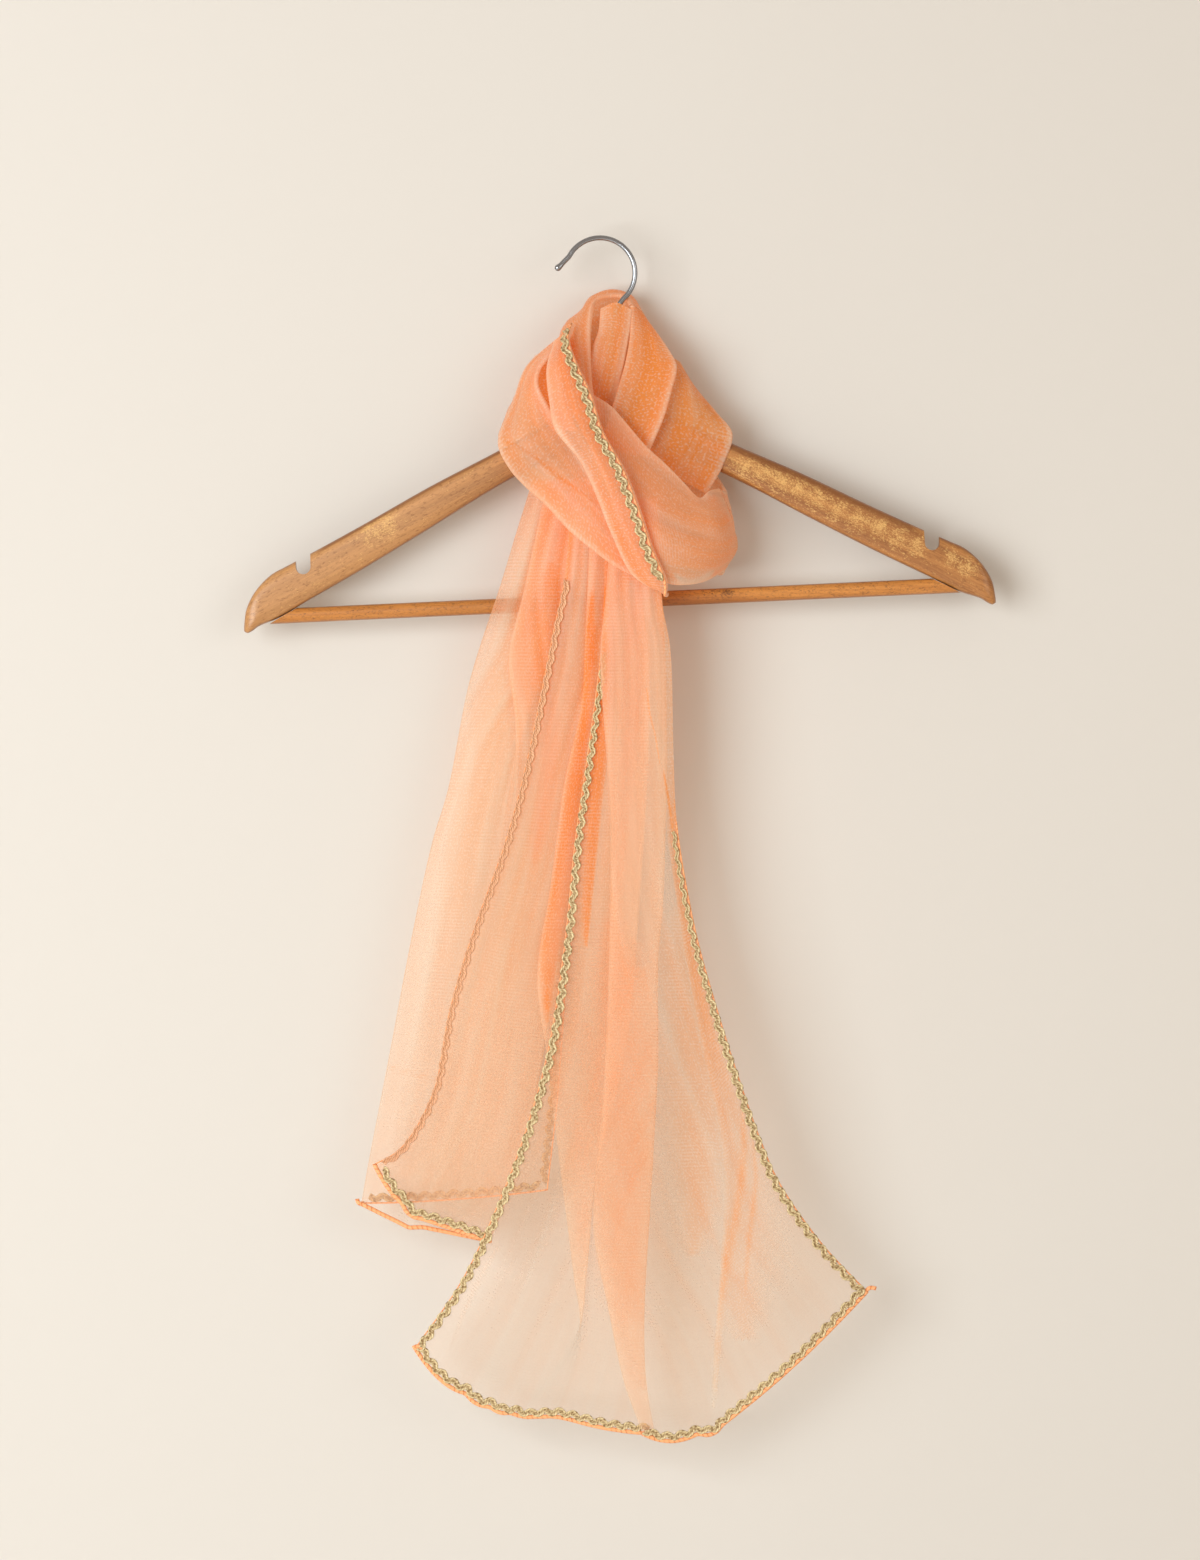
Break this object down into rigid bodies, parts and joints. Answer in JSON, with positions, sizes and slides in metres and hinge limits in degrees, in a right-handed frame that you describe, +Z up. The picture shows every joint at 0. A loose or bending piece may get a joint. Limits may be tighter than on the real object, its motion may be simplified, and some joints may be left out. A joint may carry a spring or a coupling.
{
  "type": "dupatta stole on a clothes hanger",
  "caption": "Sheer orange stole with wavy gold braid edges, wound and looped on a wooden clothes hanger with a trouser bar and a steel hook.",
  "frame": {"origin": "underside of the hook's arc, where a nail or a rail carries the hanger", "axes": "+Z up, +X to the right of someone who looks at the front, -Y to the front, +Y to the wall"},
  "size_m": [0.4445, 0.0688, 0.7078],
  "materials": {
    "organza": "sheer crisp organza with a soft sheen",
    "gold_braid": "woven braid with metallic thread",
    "varnished_wood": "satin varnish, worn at the edges",
    "polished_steel": "polished wire"
  },
  "bodies": {
    "root": {"collar_back": "organza", "lapel_right_inner": "organza", "lapel_right_outer": "organza", "neck_cover": "organza", "tail_long": "organza", "tail_short": "organza", "wrap_back": "organza", "wrap_low": "organza", "wrap_mid": "organza", "wrap_top": "organza", "trim_back_hem": "gold_braid", "trim_back_side": "gold_braid", "trim_long_hem_left": "gold_braid", "trim_long_hem_right": "gold_braid", "trim_long_left": "gold_braid", "trim_long_right": "gold_braid", "trim_short_hem": "gold_braid", "trim_short_side": "gold_braid", "trim_wrap": "gold_braid", "hanger_body": "varnished_wood", "hanger_bar": "varnished_wood", "hanger_hook": "polished_steel"}
  },
  "joints": []
}
